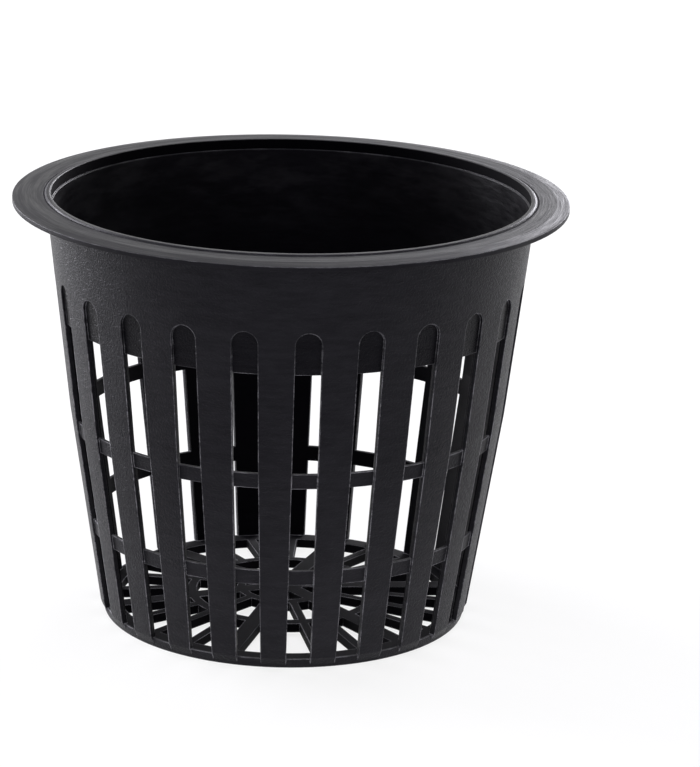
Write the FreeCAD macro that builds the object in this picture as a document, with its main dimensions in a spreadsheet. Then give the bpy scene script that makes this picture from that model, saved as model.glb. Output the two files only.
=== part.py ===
"""Hydroponic net pot: one moulded basket with a slotted wall, two hoops, a rim flange and an open floor.

Millimetres, +Z up, origin on the pot's axis at the level that it stands on. The pot is a blank of revolution
less its openings, as the two halves of its mould shape it.
"""

import FreeCAD, Part
import os

import Sketcher

DOCUMENT = "NetPot"
NODE = "net_pot"
CLOSE = 0.01

# name: (value, what it is)
SIZES = {
    "height": (65, "from the standing level to the top of the rim"),
    "rim_diameter": (83, "across the flange"),
    "foot_radius": (28.05, "wall's outer face, carried down to the standing level"),
    "waist_radius": (32.95, "wall's outer face at the waist"),
    "shoulder_radius": (36.65, "wall's outer face, carried up to the top of the rim"),
    "waist_level": (32.5, "where the wall's two tapers meet"),
    "wall_thickness": (0.95, "bars and solid wall, measured level"),
    "flange_thickness": (0.95, "rim flange"),
    "flange_slope": (1.9, "width of the flange's outer slope"),
    "flange_fall": (0.3, "how far the flange's outer slope falls"),
    "bead_height": (0.2, "bead round the mouth, above the flange"),
    "bead_width": (0.9, "bead round the mouth"),
    "mouth_wall": (0.87, "wall's outer face, carried up, to the inside of the mouth band"),
    "mouth_band": (1.6, "height of the upright band inside the mouth"),
    "slot_count": (24, "slots round the wall"),
    "slot_width": (3.85, "at the arch"),
    "slot_foot_width": (3.6, "at the bars' lower ends"),
    "slot_top": (53.2, "crown of the arch"),
    "bar_foot": (0.5, "level of the bars' lower ends"),
    "bar_heel": (1.1, "height of the slope at the bars' lower ends"),
    "panel_inset": (0.45, "arched panels behind the wall's outer face"),
    "window_top": (46.75, "lower edge of the arched panels"),
    "hoop_height": (2.3, "both hoops"),
    "hoop_inset": (0.4, "hoops and base ring behind the wall's outer face"),
    "upper_hoop_top": (31.4, "level"),
    "lower_hoop_top": (15.9, "level"),
    "floor_thickness": (1.4, "grille and base ring"),
    "floor_rise": (1.6, "how far the middle of the grille stands above its edge"),
    "base_ring_inner": (25.4, "radius where the grille starts"),
    "outer_ring_radius": (14.9, "outside of the grille's outer ring"),
    "outer_ring_width": (1.45, "grille's outer ring"),
    "inner_ring_radius": (7.2, "outside of the grille's inner ring"),
    "inner_ring_width": (1.3, "grille's inner ring"),
    "hub_radius": (2.9, "solid middle of the grille"),
    "spoke_width": (1.35, "outer spokes, one under each bar"),
    "inner_spoke_width": (1.25, "spokes between the two rings, one under every second bar"),
    "main_spoke_width": (2.5, "spokes that run from the hub to the base ring"),
    "main_spoke_count": (6, "spokes that run from the hub to the base ring"),
}

SPOKE_TURN = "360 / (2 * Sizes.slot_count)"
BETWEEN_SPOKES = f"{SPOKE_TURN} + 360 / Sizes.slot_count"
BETWEEN_MAIN_SPOKES = f"{SPOKE_TURN} + 360 / (2 * Sizes.main_spoke_count)"
FLOOR_TOP = "Sizes.floor_thickness + Sizes.floor_rise"
FLANGE_TOP = "Sizes.height - Sizes.bead_height"
FLANGE_UNDER = "Sizes.height - Sizes.bead_height - Sizes.flange_thickness"


def make_sheet(doc):
    sheet = doc.addObject("Spreadsheet::Sheet", "Sizes")
    for row, (name, (value, meaning)) in enumerate(SIZES.items(), start=1):
        sheet.set(f"A{row}", name)
        sheet.set(f"B{row}", str(value))
        sheet.set(f"C{row}", meaning)
        sheet.setAlias(f"B{row}", name)
    doc.recompute()
    return sheet


def side(inset, level):
    """Radius, at a level, of the face that lies so far inside the wall's outer face."""
    lower = f"({level}) * (Sizes.waist_radius - Sizes.foot_radius) / Sizes.waist_level + Sizes.foot_radius"
    upper = (
        f"Sizes.waist_radius + (({level}) - Sizes.waist_level)"
        " * (Sizes.shoulder_radius - Sizes.waist_radius) / (Sizes.height - Sizes.waist_level)"
    )
    return f"(({level}) < Sizes.waist_level ? {lower} : {upper}) - ({inset})"


def origin_part(body, role):
    for item in body.Origin.OriginFeatures:
        if item.Role == role:
            return item
    raise RuntimeError(f"{body.Label} has no {role}")


def place_point(sketch, corner):
    """A construction point held by its two dimensions."""
    point = sketch.addGeometry(Part.Point(FreeCAD.Vector(1, 1, 0)), True)
    for kind, formula in zip(("DistanceX", "DistanceY"), corner):
        label = f"{kind[-1].lower()}{point}"
        index = sketch.addConstraint(Sketcher.Constraint(kind, -1, 1, point, 1, 1.0))
        sketch.renameConstraint(index, label)
        sketch.setExpression(f"Constraints.{label}", formula)
    return point


def draw_loop(sketch, corners):
    """A closed outline. Each corner is (x, y) in formulas of the sheet, or (x, y, "through"), a point that the
    arc between its neighbours passes through."""
    points = [place_point(sketch, corner) for corner in corners]
    sketch.recompute()
    places = [sketch.getPoint(point, 1) for point in points]
    ends = [number for number, corner in enumerate(corners) if len(corner) == 2]
    for start, end in zip(ends, ends[1:] + ends[:1]):
        if (end - start) % len(corners) == 1:
            edge = sketch.addGeometry(Part.LineSegment(places[start], places[end]))
        else:
            middle = (start + 1) % len(corners)
            edge = sketch.addGeometry(Part.Arc(places[start], places[middle], places[end]))
            sketch.addConstraint(Sketcher.Constraint("PointOnObject", points[middle], 1, edge))
        swapped = sketch.getPoint(edge, 1).distanceToPoint(places[start]) > CLOSE
        first, last = (2, 1) if swapped else (1, 2)
        sketch.addConstraint(Sketcher.Constraint("Coincident", edge, first, points[start], 1))
        sketch.addConstraint(Sketcher.Constraint("Coincident", edge, last, points[end], 1))
    sketch.recompute()


def make_sketch(body, name, plane, *loops):
    sketch = body.newObject("Sketcher::SketchObject", name)
    sketch.AttachmentSupport = [(origin_part(body, plane), "")]
    sketch.MapMode = "FlatFace"
    for corners in loops:
        draw_loop(sketch, corners)
    return sketch


def sweep(body, kind, name, sketch):
    """A Revolution or a Groove of the sketch, all the way round the axis."""
    feature = body.newObject(f"PartDesign::{kind}", name)
    feature.Profile = sketch
    feature.ReferenceAxis = (sketch, ["V_Axis"])
    feature.Angle = 360
    body.Document.recompute()
    return feature


def pad(body, name, sketch, length):
    feature = body.newObject("PartDesign::Pad", name)
    feature.Profile = sketch
    feature.setExpression("Length", length)
    body.Document.recompute()
    return feature


def repeat(body, name, feature, count):
    pattern = body.newObject("PartDesign::PolarPattern", name)
    pattern.Originals = [feature]
    pattern.Axis = (origin_part(body, "Z_Axis"), [""])
    pattern.Angle = 360
    pattern.setExpression("Occurrences", count)
    body.Tip = pattern
    body.Document.recompute()
    return pattern


def add_blank(body):
    """Floor, side, flange, bead and mouth band in one profile, with no openings yet."""
    ledge = "Sizes.height - Sizes.mouth_band"
    mouth = "Sizes.shoulder_radius - Sizes.mouth_wall"
    bead_out = f"{mouth} + Sizes.bead_width"
    edge = "Sizes.rim_diameter / 2"
    inner = "Sizes.wall_thickness"
    heel = "Sizes.bar_foot + Sizes.bar_heel"
    corners = [
        ("0", "Sizes.floor_rise"),
        ("Sizes.base_ring_inner", "0"),
        (side("Sizes.hoop_inset", "0"), "0"),
        (side("Sizes.hoop_inset", "Sizes.bar_foot"), "Sizes.bar_foot"),
        (side("0", heel), heel),
        ("Sizes.waist_radius", "Sizes.waist_level"),
        (side("0", FLANGE_UNDER), FLANGE_UNDER),
        (edge, FLANGE_UNDER),
        (edge, f"{FLANGE_TOP} - Sizes.flange_fall"),
        (f"{edge} - Sizes.flange_slope", FLANGE_TOP),
        (bead_out, FLANGE_TOP),
        (f"{bead_out} - Sizes.bead_height", "Sizes.height"),
        (mouth, "Sizes.height"),
        (mouth, ledge),
        (side(inner, ledge), ledge),
        (f"Sizes.waist_radius - {inner}", "Sizes.waist_level"),
        (side(inner, "Sizes.floor_thickness"), "Sizes.floor_thickness"),
        ("Sizes.base_ring_inner", "Sizes.floor_thickness"),
        ("0", FLOOR_TOP),
    ]
    sweep(body, "Revolution", "Blank", make_sketch(body, "BlankProfile", "XZ_Plane", corners))


def add_slot_cores(body):
    """Arched cores that open the slots, one for each."""
    half = "Sizes.slot_width / 2"
    foot_half = "Sizes.slot_foot_width / 2"
    spring = "Sizes.slot_top - Sizes.slot_width / 2"
    corners = [
        (half, spring),
        ("0", "Sizes.slot_top", "through"),
        (f"-{half}", spring),
        (f"-{foot_half}", "Sizes.bar_foot"),
        (foot_half, "Sizes.bar_foot"),
    ]
    start = "Sizes.base_ring_inner - Sizes.wall_thickness"
    sketch = make_sketch(body, "SlotOutline", "XZ_Plane", corners)
    sketch.setExpression("AttachmentOffset.Base.z", start)
    core = pad(body, "SlotCore", sketch, f"Sizes.rim_diameter / 2 - ({start})")
    repeat(body, "SlotCores", core, "Sizes.slot_count")


def kept_ring(inset, low, high):
    """Everything inside the face at that inset, from one level to another, as a profile from the axis."""
    return [("0", low), (side(inset, low), low), (side(inset, high), high), ("0", high)]


def spare_rings(body):
    """Cuts the slot cores back where the arched panels, the hoops and the base ring cross the slots."""
    loops = [
        kept_ring("Sizes.panel_inset", "Sizes.window_top", "Sizes.slot_top + Sizes.slot_width / 2"),
        kept_ring("Sizes.hoop_inset", "Sizes.upper_hoop_top - Sizes.hoop_height", "Sizes.upper_hoop_top"),
        kept_ring("Sizes.hoop_inset", "Sizes.lower_hoop_top - Sizes.hoop_height", "Sizes.lower_hoop_top"),
        kept_ring("Sizes.hoop_inset", "0", "Sizes.floor_thickness"),
    ]
    before = body.Shape.Volume
    sketch = make_sketch(body, "SparedRings", "XZ_Plane", *loops)
    if sweep(body, "Groove", "SparedRing", sketch).Shape.Volume >= before:
        raise RuntimeError("the rings spare nothing")


def add_grille_cores(body, name, inner, outer, spoke, count, turn):
    """Cores between straight spokes, from one radius to another. The first is centred on an angle."""

    def corner(radius, sign):
        angle = f"(180 deg / ({count}) - asin({spoke} / (2 * {radius})))"
        return (f"{radius} * cos({angle})", f"{sign}{radius} * sin({angle})")

    corners = [
        corner(inner, "-"),
        (inner, "0", "through"),
        corner(inner, ""),
        corner(outer, ""),
        (outer, "0", "through"),
        corner(outer, "-"),
    ]
    sketch = make_sketch(body, f"{name}Outline", "XY_Plane", corners)
    sketch.setExpression("AttachmentOffset.Rotation.Angle", turn)
    core = pad(body, name, sketch, FLOOR_TOP)
    repeat(body, f"{name}s", core, count)


def spare_main_spokes(body):
    """Cuts the grille's cores back along the broad spokes."""
    half = "Sizes.main_spoke_width / 2"
    end = "Sizes.base_ring_inner"
    corners = [("0", f"-{half}"), (end, f"-{half}"), (end, half), ("0", half)]
    sketch = make_sketch(body, "MainSpokeOutline", "XY_Plane", corners)
    sketch.setExpression("AttachmentOffset.Rotation.Angle", SPOKE_TURN)
    before = body.Shape.Volume
    spoke = body.newObject("PartDesign::Pocket", "MainSpoke")
    spoke.Profile = sketch
    spoke.Reversed = True
    spoke.setExpression("Length", FLOOR_TOP)
    body.Document.recompute()
    if spoke.Shape.Volume >= before:
        raise RuntimeError("the broad spoke spares nothing")
    repeat(body, "MainSpokes", spoke, "Sizes.main_spoke_count")


def check(doc, pot):
    for item in doc.Objects:
        if "Invalid" in item.State or "Error" in item.State:
            raise RuntimeError(f"{item.Label} failed: {item.State}")
    shape = pot.Shape
    if shape.isNull() or not shape.isValid() or len(shape.Solids) != 1:
        raise RuntimeError(f"{pot.Label} is not one valid solid")


def main():
    doc = FreeCAD.newDocument(DOCUMENT)
    make_sheet(doc)
    cores = doc.addObject("PartDesign::Body", "Openings")
    cores.AllowCompound = True
    add_slot_cores(cores)
    spare_rings(cores)
    add_grille_cores(
        cores,
        "OuterCore",
        "Sizes.outer_ring_radius",
        "Sizes.base_ring_inner",
        "Sizes.spoke_width",
        "Sizes.slot_count",
        "0",
    )
    add_grille_cores(
        cores,
        "MiddleCore",
        "Sizes.inner_ring_radius",
        "(Sizes.outer_ring_radius - Sizes.outer_ring_width)",
        "Sizes.inner_spoke_width",
        "Sizes.slot_count / 2",
        BETWEEN_SPOKES,
    )
    add_grille_cores(
        cores,
        "InnerCore",
        "Sizes.hub_radius",
        "(Sizes.inner_ring_radius - Sizes.inner_ring_width)",
        "Sizes.main_spoke_width",
        "Sizes.main_spoke_count",
        BETWEEN_MAIN_SPOKES,
    )
    spare_main_spokes(cores)
    pot = doc.addObject("PartDesign::Body", "Pot")
    pot.Label = NODE
    add_blank(pot)
    opened = pot.newObject("PartDesign::Boolean", "Opened")
    opened.Type = "Cut"
    opened.setObjects([cores])
    doc.recompute()
    check(doc, pot)
    os.makedirs("parts", exist_ok=True)
    pot.Shape.exportStep(f"parts/{NODE}.step")
    print(NODE, round(pot.Shape.Volume, 1), "mm3", len(pot.Shape.Faces), "faces")


main()
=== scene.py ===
"""Looks of the hydroponic net pot: black moulded plastic on a pale floor under soft studio light."""

import math
from types import SimpleNamespace

import bpy
from mathutils import Matrix, Vector


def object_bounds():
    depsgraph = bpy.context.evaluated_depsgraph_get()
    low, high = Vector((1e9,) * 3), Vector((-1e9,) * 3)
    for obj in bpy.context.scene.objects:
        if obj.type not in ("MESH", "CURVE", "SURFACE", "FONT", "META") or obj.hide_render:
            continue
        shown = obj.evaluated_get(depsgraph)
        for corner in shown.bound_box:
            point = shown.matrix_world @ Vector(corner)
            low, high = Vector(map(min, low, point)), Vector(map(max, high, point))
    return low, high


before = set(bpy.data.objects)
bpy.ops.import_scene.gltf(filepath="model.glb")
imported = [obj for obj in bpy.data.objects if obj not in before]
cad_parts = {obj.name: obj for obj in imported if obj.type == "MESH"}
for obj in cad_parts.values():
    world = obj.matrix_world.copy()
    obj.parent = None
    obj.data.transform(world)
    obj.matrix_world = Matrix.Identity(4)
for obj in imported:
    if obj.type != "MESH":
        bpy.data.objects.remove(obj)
cad_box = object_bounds()

MM = 0.001

# Levels and radii of the pot that its finish follows
RIM_LEVEL = cad_box[1][2]
RIM_UNDER = RIM_LEVEL - 1.15 * MM
LEDGE = RIM_LEVEL - 1.6 * MM
PANEL_LOW = 46.75 * MM
PANEL_FOOT = (PANEL_LOW - 1.0 * MM, PANEL_LOW + 1.0 * MM)
WAIST_LEVEL = 32.5 * MM
FLOOR_TOP = 3.0 * MM
FOOT_LEVEL = 0.0
FOOT_RADIUS = 28.05 * MM
WAIST_RADIUS = 32.95 * MM
SHOULDER_RADIUS = 36.65 * MM
MOUTH_RADIUS = 35.78 * MM
BEAD_WIDTH = 0.9 * MM
BEAD_MIDDLE = MOUTH_RADIUS + BEAD_WIDTH / 2
GROOVE_RADIUS = MOUTH_RADIUS + BEAD_WIDTH + 0.12 * MM
GROOVE_HALF_WIDTHS = (0.06 * MM, 0.2 * MM)

# How far it takes for one region to turn into the next: in depth behind the wall's outer face, where the
# panels and the inside start, and one step of level or radius elsewhere
PANEL_DEPTHS = (0.2 * MM, 0.35 * MM)
INSIDE_DEPTHS = (0.6 * MM, 0.8 * MM)
STEP = 0.1 * MM

# Colours, and how far each region goes from the first to the second
DEEP_BLACK = (0.0012, 0.0011, 0.0017, 1.0)
# The grey that edges are lightened towards is a painted highlight, with a little rubbing wear; the tones run
# towards it too
EDGE_HIGHLIGHT_AND_RUB_GREY = (0.33, 0.325, 0.35, 1.0)
WALL_TONE = 0.008
FOOT_TONE = 0.034
# Painted light inside the mouth, in patches, that fades to painted shade lower down
INSIDE_LIT_TONE = 0.014
ARCH_TONE = 0.0
RIM_TONE = 0.008

# What the plastic mirrors when seen square on, and how far each region goes from the first to the second
PLASTIC_IOR = 1.49
MIRROR_LEVEL = 0.2
DIM_MIRROR = (0.06, 0.055, 0.08, 1.0)
FULL_MIRROR = (0.86, 0.83, 1.0, 1.0)
WALL_MIRROR = 0.8
# Painted shade: the inside mirrors little, and the mouth's band not at all
INSIDE_SHADED_MIRROR = 0.1
ARCH_MIRROR = 0.4
RIM_MIRROR = 0.7

# Roughness of each region: one value, or that of its smoothest and its roughest marks
WALL_ROUGHNESS = (0.36, 0.54)
INSIDE_ROUGHNESS = (0.28, 0.4)
ARCH_ROUGHNESS = (0.26, 0.36)
RIM_ROUGHNESS = (0.36, 0.6)
GRILLE_ROUGHNESS = 0.8
BAND_ROUGHNESS = 1.0
GROOVE_ROUGHNESS = 1.0

# Heights of the relief, as multiples of one depth
RELIEF_DEPTH = 0.04 * MM
GRAIN_HEIGHT = 3.4
DASH_HEIGHT = 0.8
STROKE_HEIGHT = 0.4
INSIDE_STROKE_HEIGHT = 0.6
STREAK_HEIGHT = 1.5
CROWN_HEIGHT = 2.2
GROOVE_HEIGHT = -2.0

# Edges, where a painted highlight goes: their radius and samples, the cosines between rounded and flat
# normals where they start and are full, how far from the level of the rim's underside they show, and their
# share inside and on the grille
EDGE_RADIUS = 0.25 * MM
EDGE_SAMPLES = 6
EDGE_COSINES = (0.985, 0.85)
CLEAR_OF_RIM = (0.3 * MM, 0.4 * MM)
INSIDE_EDGE = 0.12
GRILLE_EDGE = 0.7

# The stretches of a noise's range that are spread from the least to the most of what it drives
WIDE = (0.3, 0.7)
NARROW = (0.35, 0.65)
SHARP = (0.4, 0.6)
HIGH = (0.42, 0.72)
HIGHEST = (0.55, 0.7)

# The factor that such a noise, or the level, puts on a tone, on an edge's painted highlight and rubbing, or
# on a mirror at either end
# Inside the mouth: painted light in patches, and painted shade that deepens from the ledge down to the
# panels
LIT_PATCH_TONES = (0.3, 1.4)
SHADE_UP_TO_LEDGE = (0.0, 1.2)
MOTTLE_TONES = (0.6, 1.4)
# Painted edge highlight, with a little rubbing wear: broken by speckle and patches, and stronger below the
# panels
SPECKLE_HIGHLIGHT_RUBS = (0.3, 0.9)
PATCH_HIGHLIGHT_RUBS = (0.35, 1.4)
HIGHLIGHT_RUBS_UP_TO_PANELS = (1.4, 0.6)
STROKE_MIRRORS = (0.8, 1.2)

# Light
FLOOR_SIZE = 6.0
FLOOR_WHITE = 0.95
FLOOR_GLOW = 0.8
WORLD_LIGHT = 0.3
LAMP_COLOUR = (0.95, 0.94, 1.0)


# ---------------------------------------------------------------- node helpers


class Nodes:
    """Short calls that add nodes to one tree and link them."""

    def __init__(self, tree):
        self.tree = tree
        tree.nodes.clear()

    def add(self, kind, inputs=None, **settings):
        node = self.tree.nodes.new(kind)
        for name, value in settings.items():
            setattr(node, name, value)
        for name, value in (inputs or {}).items():
            self.feed(node.inputs[name], value)
        return node

    def feed(self, socket, value):
        if isinstance(value, bpy.types.NodeSocket):
            self.tree.links.new(value, socket)
        else:
            socket.default_value = value

    def math(self, operation, first, second=0.0, third=0.0, clamp=False):
        inputs = {0: first, 1: second, 2: third}
        return self.add("ShaderNodeMath", inputs, operation=operation, use_clamp=clamp).outputs[0]

    def multiply(self, first, *others):
        """Product of two or more values."""
        for other in others:
            first = self.math("MULTIPLY", first, other)
        return first

    def apart(self, value, centre):
        """How far a value is from a centre, either way."""
        return self.math("ABSOLUTE", self.math("SUBTRACT", value, centre))

    def ramp(self, value, start, end, low=0.0, high=1.0):
        """Smooth step of a value from low at start to high at end."""
        inputs = {"Value": value, "From Min": start, "From Max": end, "To Min": low, "To Max": high}
        node = self.add("ShaderNodeMapRange", inputs, interpolation_type="SMOOTHSTEP")
        return node.outputs["Result"]

    def mix(self, factor, first, second):
        """One number turning into another."""
        node = self.add("ShaderNodeMix", {0: factor, 2: first, 3: second}, data_type="FLOAT")
        return node.outputs[0]

    def blend(self, factor, first, second):
        """One colour turning into another."""
        node = self.add("ShaderNodeMix", data_type="RGBA")
        for number, value in ((0, factor), (6, first), (7, second)):
            self.feed(node.inputs[number], value)
        return node.outputs[2]

    def noise(self, vector, scale, detail, roughness):
        inputs = {"Vector": vector, "Scale": scale, "Detail": detail, "Roughness": roughness}
        return self.add("ShaderNodeTexNoise", inputs).outputs["Fac"]


# ---------------------------------------------------------------- black plastic


def wall_depth(nodes, radius, level):
    """How far a point lies inside the wall's outer face, whose two tapers meet at the waist."""
    lower_slope = (WAIST_RADIUS - FOOT_RADIUS) / WAIST_LEVEL
    upper_slope = (SHOULDER_RADIUS - WAIST_RADIUS) / (RIM_LEVEL - WAIST_LEVEL)
    lower = nodes.math("MULTIPLY_ADD", level, lower_slope, third=FOOT_RADIUS)
    upper = nodes.math("MULTIPLY_ADD", level, upper_slope, third=WAIST_RADIUS - WAIST_LEVEL * upper_slope)
    return nodes.math("SUBTRACT", nodes.math("MINIMUM", lower, upper), radius)


def find_spot(nodes):
    """Where the shaded point lies: its place, distance from the axis, level and depth in the wall."""
    place = nodes.add("ShaderNodeTexCoord").outputs["Object"]
    x, y, level = nodes.add("ShaderNodeSeparateXYZ", {0: place}).outputs
    radius = nodes.math("SQRT", nodes.math("ADD", nodes.multiply(x, x), nodes.multiply(y, y)))
    depth = wall_depth(nodes, radius, level)
    return SimpleNamespace(place=place, x=x, y=y, radius=radius, level=level, depth=depth)


def find_regions(nodes, spot):
    """Masks, from 0 to 1, of the regions with a finish of their own. The outer wall is what they leave."""
    band = nodes.multiply(
        nodes.ramp(spot.level, LEDGE, LEDGE + STEP),
        nodes.ramp(spot.level, RIM_LEVEL, RIM_LEVEL - STEP),
        nodes.ramp(spot.radius, MOUTH_RADIUS + STEP, MOUTH_RADIUS),
    )
    inside = nodes.math("MAXIMUM", nodes.ramp(spot.depth, *INSIDE_DEPTHS), band)
    rim = nodes.ramp(spot.level, RIM_UNDER - 1.5 * STEP, RIM_UNDER)
    rim = nodes.math("SUBTRACT", rim, inside, clamp=True)
    arch = nodes.math("SUBTRACT", nodes.ramp(spot.depth, *PANEL_DEPTHS), inside, clamp=True)
    arch = nodes.multiply(arch, nodes.ramp(spot.level, PANEL_LOW, PANEL_LOW + STEP))
    arch = nodes.math("SUBTRACT", arch, rim, clamp=True)
    grille = nodes.multiply(inside, nodes.ramp(spot.level, FLOOR_TOP + 2 * STEP, FLOOR_TOP))
    groove = nodes.ramp(nodes.apart(spot.radius, GROOVE_RADIUS), *GROOVE_HALF_WIDTHS, 1.0, 0.0)
    return SimpleNamespace(band=band, inside=inside, rim=rim, arch=arch, grille=grille, groove=groove)


def by_region(nodes, region, wall, inside, arch, rim):
    """One value on the outer wall, one inside, one on the arched panels and one on the rim."""
    value = nodes.mix(region.inside, wall, inside)
    value = nodes.mix(region.arch, value, arch)
    return nodes.mix(region.rim, value, rim)


def ring_noise(nodes, spot, rise, long, high):
    """Noise in marks that run round the axis, each so long and, along the rise, so high. It has no seam."""
    turn = WAIST_RADIUS / long
    across = nodes.multiply(nodes.math("DIVIDE", spot.x, spot.radius), turn)
    along = nodes.multiply(nodes.math("DIVIDE", spot.y, spot.radius), turn)
    upward = nodes.math("DIVIDE", rise, high)
    place = nodes.add("ShaderNodeCombineXYZ", {0: across, 1: along, 2: upward}).outputs[0]
    return nodes.noise(place, scale=1.0, detail=3.0, roughness=0.65)


def make_textures(nodes, spot):
    """The noises behind the marks: grain, dashes, strokes and patches, and the lathe streaks of the rim."""
    speckle = ring_noise(nodes, spot, spot.level, long=1.5 * MM, high=0.4 * MM)
    fine_streaks = ring_noise(nodes, spot, spot.radius, long=7.0 * MM, high=0.22 * MM)
    broad_streaks = ring_noise(nodes, spot, spot.radius, long=12.0 * MM, high=0.9 * MM)
    return SimpleNamespace(
        grain=nodes.noise(spot.place, scale=3200.0, detail=2.0, roughness=0.7),
        speckle=speckle,
        dashes=nodes.ramp(speckle, *HIGHEST),
        strokes=ring_noise(nodes, spot, spot.level, long=4.0 * MM, high=0.8 * MM),
        patches=ring_noise(nodes, spot, spot.level, long=7.0 * MM, high=2.5 * MM),
        mottle=nodes.noise(spot.place, scale=55.0, detail=4.0, roughness=0.6),
        streaks=nodes.mix(0.5, fine_streaks, broad_streaks),
    )


def find_edges(nodes, spot, region, rounded):
    """Where two faces meet, from 0 to 1: where the painted edge highlight goes. Edges are faint inside, and
    none shows where wall and rim meet.
    """
    flat = nodes.add("ShaderNodeNewGeometry").outputs["Normal"]
    meeting = nodes.add("ShaderNodeVectorMath", {0: rounded, 1: flat}, operation="DOT_PRODUCT")
    turned = nodes.ramp(meeting.outputs["Value"], *EDGE_COSINES)
    clear = nodes.ramp(nodes.apart(spot.level, RIM_UNDER), *CLEAR_OF_RIM)
    share = nodes.mix(region.grille, nodes.mix(region.inside, 1.0, INSIDE_EDGE), GRILLE_EDGE)
    return nodes.multiply(turned, clear, share)


def make_relief(nodes, spot, region, texture):
    """Heights: grain, dashes and strokes outside, strokes inside; streaks, groove and crown on the rim."""
    outside = nodes.multiply(texture.grain, GRAIN_HEIGHT)
    outside = nodes.math("MULTIPLY_ADD", texture.dashes, DASH_HEIGHT, third=outside)
    outside = nodes.math("MULTIPLY_ADD", texture.strokes, STROKE_HEIGHT, third=outside)
    across = nodes.math("DIVIDE", nodes.math("SUBTRACT", spot.radius, BEAD_MIDDLE), BEAD_WIDTH / 2)
    crown = nodes.math("SUBTRACT", 1.0, nodes.multiply(across, across), clamp=True)
    rim = nodes.multiply(texture.streaks, STREAK_HEIGHT)
    rim = nodes.math("MULTIPLY_ADD", region.groove, GROOVE_HEIGHT, third=rim)
    rim = nodes.math("MULTIPLY_ADD", crown, CROWN_HEIGHT, third=rim)
    relief = nodes.mix(region.inside, outside, nodes.multiply(texture.strokes, INSIDE_STROKE_HEIGHT))
    return nodes.mix(region.rim, relief, rim)


def make_colour(nodes, spot, region, texture, edge):
    """Deep black, a little greyer at the foot, with painted light in patches inside the mouth that fades to
    painted shade lower down and leaves the mouth's band in painted shade, and painted highlights with a
    little rubbing on the edges.
    """
    wall = nodes.ramp(spot.level, WAIST_LEVEL, FOOT_LEVEL, WALL_TONE, FOOT_TONE)
    # Painted light in patches inside the mouth, fading to painted shade down towards the panels; the mouth's
    # band gets none, as painted shade
    inside = nodes.multiply(
        nodes.ramp(texture.patches, *HIGH, *LIT_PATCH_TONES),
        nodes.ramp(spot.level, PANEL_LOW, LEDGE, *SHADE_UP_TO_LEDGE),
        INSIDE_LIT_TONE,
    )
    inside = nodes.mix(region.band, inside, 0.0)
    tone = by_region(nodes, region, wall, inside, ARCH_TONE, RIM_TONE)
    tone = nodes.multiply(tone, nodes.ramp(texture.mottle, *WIDE, *MOTTLE_TONES))
    # Painted highlight along the edges, with a little rubbing wear
    edge_highlight_and_rub = nodes.multiply(
        nodes.ramp(texture.speckle, *NARROW, *SPECKLE_HIGHLIGHT_RUBS),
        nodes.ramp(texture.patches, *SHARP, *PATCH_HIGHLIGHT_RUBS),
        nodes.ramp(spot.level, *PANEL_FOOT, *HIGHLIGHT_RUBS_UP_TO_PANELS),
    )
    tone = nodes.math("MULTIPLY_ADD", edge, edge_highlight_and_rub, third=tone, clamp=True)
    return nodes.blend(tone, DEEP_BLACK, EDGE_HIGHLIGHT_AND_RUB_GREY)


def make_mirror(nodes, region, texture):
    """How much the plastic mirrors square on. The strokes break it up. Inside, the mirror is dimmed as
    painted shade, and the mouth's band, as painted shade, is dimmest.
    """
    # Painted shade: the inside mirrors little, and the mouth's band not at all
    inside = nodes.mix(region.band, INSIDE_SHADED_MIRROR, 0.0)
    shine = by_region(nodes, region, WALL_MIRROR, inside, ARCH_MIRROR, RIM_MIRROR)
    shine = nodes.math("MULTIPLY", shine, nodes.ramp(texture.strokes, *WIDE, *STROKE_MIRRORS), clamp=True)
    return nodes.blend(shine, DIM_MIRROR, FULL_MIRROR)


def make_roughness(nodes, region, texture):
    wall = nodes.ramp(texture.grain, *WIDE, *WALL_ROUGHNESS)
    inside = nodes.ramp(texture.strokes, *WIDE, *INSIDE_ROUGHNESS)
    arch = nodes.ramp(texture.grain, *WIDE, *ARCH_ROUGHNESS)
    rim = nodes.ramp(texture.streaks, *NARROW, *RIM_ROUGHNESS)
    rim = nodes.mix(region.groove, rim, GROOVE_ROUGHNESS)
    rough = nodes.mix(region.inside, wall, inside)
    rough = nodes.mix(region.grille, rough, GRILLE_ROUGHNESS)
    rough = nodes.mix(region.arch, rough, arch)
    rough = nodes.mix(region.band, rough, BAND_ROUGHNESS)
    return nodes.mix(region.rim, rough, rim)


def black_plastic():
    """Injection-moulded plastic: a grain outside, a satin rim, a smooth inside with painted light and shade,
    and painted highlights with a little rubbing on the edges.
    """
    material = bpy.data.materials.new("black_plastic")
    material.use_nodes = True
    nodes = Nodes(material.node_tree)
    spot = find_spot(nodes)
    region = find_regions(nodes, spot)
    texture = make_textures(nodes, spot)
    rounded = nodes.add("ShaderNodeBevel", {"Radius": EDGE_RADIUS}, samples=EDGE_SAMPLES).outputs[0]
    edge = find_edges(nodes, spot, region, rounded)
    bump = nodes.add(
        "ShaderNodeBump",
        {
            "Strength": 1.0,
            "Distance": RELIEF_DEPTH,
            "Height": make_relief(nodes, spot, region, texture),
            "Normal": rounded,
        },
    )
    shader = nodes.add(
        "ShaderNodeBsdfPrincipled",
        {
            "Base Color": make_colour(nodes, spot, region, texture, edge),
            "Roughness": make_roughness(nodes, region, texture),
            "IOR": PLASTIC_IOR,
            "Specular IOR Level": MIRROR_LEVEL,
            "Specular Tint": make_mirror(nodes, region, texture),
            "Normal": bump.outputs[0],
        },
    )
    nodes.add("ShaderNodeOutputMaterial", {"Surface": shader.outputs[0]})
    return material


def dress_pot():
    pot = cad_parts["net_pot"]
    plastic = black_plastic()
    if not pot.material_slots:
        pot.data.materials.append(plastic)
    for place in pot.material_slots:
        place.material = plastic


# ---------------------------------------------------------------- studio


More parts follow.
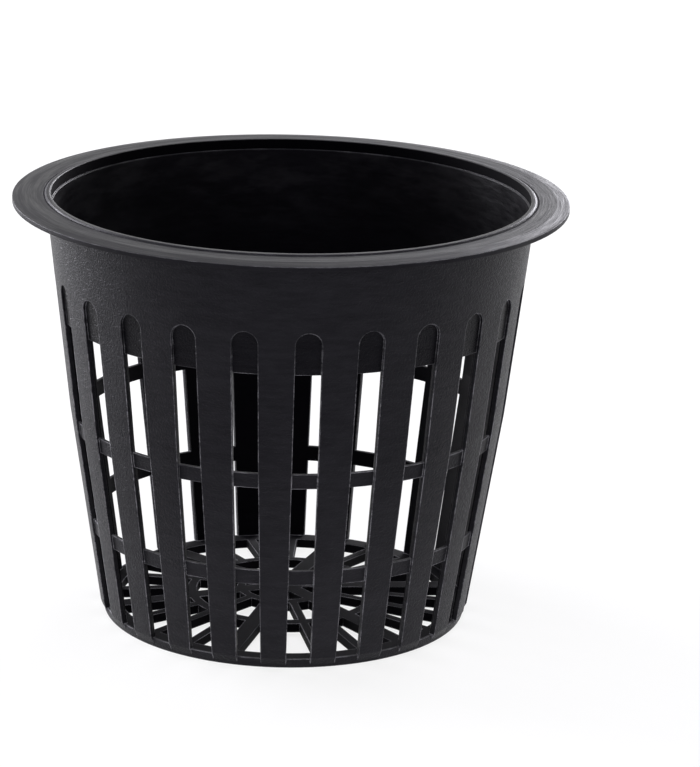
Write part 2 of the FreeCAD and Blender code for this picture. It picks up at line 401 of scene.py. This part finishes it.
def shows_to_camera(nodes):
    """1 for rays that the camera sees, straight or by a mirror or glass, and 0 for those that give light."""
    path = nodes.add("ShaderNodeLightPath")
    seen = nodes.math("MAXIMUM", path.outputs["Is Camera Ray"], path.outputs["Is Glossy Ray"])
    return nodes.math("MAXIMUM", seen, path.outputs["Is Transmission Ray"])


def pale_floor_material():
    """Matte white that also glows a little to the camera, so that it runs into the white behind it."""
    material = bpy.data.materials.new("pale_floor")
    material.use_nodes = True
    nodes = Nodes(material.node_tree)
    matte = nodes.add("ShaderNodeBsdfDiffuse", {"Color": (FLOOR_WHITE, FLOOR_WHITE, FLOOR_WHITE, 1.0)})
    glow = nodes.add("ShaderNodeEmission", {"Color": (1.0, 1.0, 1.0, 1.0), "Strength": 1.0})
    share = nodes.multiply(shows_to_camera(nodes), FLOOR_GLOW)
    mixed = nodes.add("ShaderNodeMixShader", {0: share, 1: matte.outputs[0], 2: glow.outputs[0]})
    nodes.add("ShaderNodeOutputMaterial", {"Surface": mixed.outputs[0]})
    return material


def add_floor(low):
    bpy.ops.mesh.primitive_plane_add(size=FLOOR_SIZE, location=(0.0, 0.0, low))
    floor = bpy.context.object
    floor.name = "floor"
    floor.data.materials.append(pale_floor_material())


def add_world():
    """A dim world that looks white to the camera."""
    world = bpy.data.worlds.new("studio")
    bpy.context.scene.world = world
    world.use_nodes = True
    nodes = Nodes(world.node_tree)
    dim = nodes.add("ShaderNodeBackground", {"Color": (1.0, 1.0, 1.0, 1.0), "Strength": WORLD_LIGHT})
    white = nodes.add("ShaderNodeBackground", {"Color": (1.0, 1.0, 1.0, 1.0), "Strength": 1.0})
    seen = shows_to_camera(nodes)
    mixed = nodes.add("ShaderNodeMixShader", {0: seen, 1: dim.outputs[0], 2: white.outputs[0]})
    nodes.add("ShaderNodeOutputWorld", {"Surface": mixed.outputs[0]})


def add_softbox(name, aim, place, size, power):
    data = bpy.data.lights.new(name, "AREA")
    data.shape = "RECTANGLE"
    data.size, data.size_y = size
    data.energy = power
    data.color = LAMP_COLOUR
    lamp = bpy.data.objects.new(name, data)
    bpy.context.scene.collection.objects.link(lamp)
    lamp.location = place
    lamp.rotation_euler = (Vector(aim) - Vector(place)).to_track_quat("-Z", "Y").to_euler()


def add_lights(middle):
    """Two softboxes behind the pot light its sides. A large one hangs above and a weak one is in front."""
    add_softbox("left", middle, place=(-0.62, 0.48, 0.25), size=(0.5, 0.48), power=10.0)
    add_softbox("right", middle, place=(0.42, 0.66, 0.25), size=(0.45, 0.48), power=6.0)
    add_softbox("top", middle, place=(0.0, -0.1, 0.9), size=(0.9, 0.9), power=5.5)
    add_softbox("front", middle, place=(-0.2, -1.1, 0.5), size=(0.6, 0.6), power=1.3)


def add_camera(middle):
    """Looks down at the pot from the front, turned and tipped as the reference view is."""
    distance = 0.5283
    raised = math.radians(17.1)
    turned = math.radians(-4.72)
    roll = math.radians(1.42)
    aside = 0.00943
    above = 0.00282
    outward = Vector((math.sin(turned), -math.cos(turned), 0.0)) * math.cos(raised)
    outward.z = math.sin(raised)
    across = Vector((math.cos(turned), math.sin(turned), 0.0))
    upward = outward.cross(across)
    place = middle + outward * distance
    sight = (middle + across * aside + upward * above - place).normalized()
    right = sight.cross(Vector((0.0, 0.0, 1.0))).normalized()
    up = right.cross(sight)
    level = Matrix((right, up, -sight)).transposed().to_4x4()
    data = bpy.data.cameras.new("view")
    data.sensor_width = 36.0
    data.lens = 163.3
    data.clip_start = 0.01
    camera = bpy.data.objects.new("view", data)
    bpy.context.scene.collection.objects.link(camera)
    camera.matrix_world = Matrix.Translation(place) @ level @ Matrix.Rotation(roll, 4, "Z")
    bpy.context.scene.camera = camera


def main():
    low, high = cad_box
    middle = (Vector(low) + Vector(high)) / 2
    dress_pot()
    add_floor(low[2])
    add_world()
    add_lights(middle)
    add_camera(middle)
    bpy.context.scene.view_settings.view_transform = "Standard"


main()
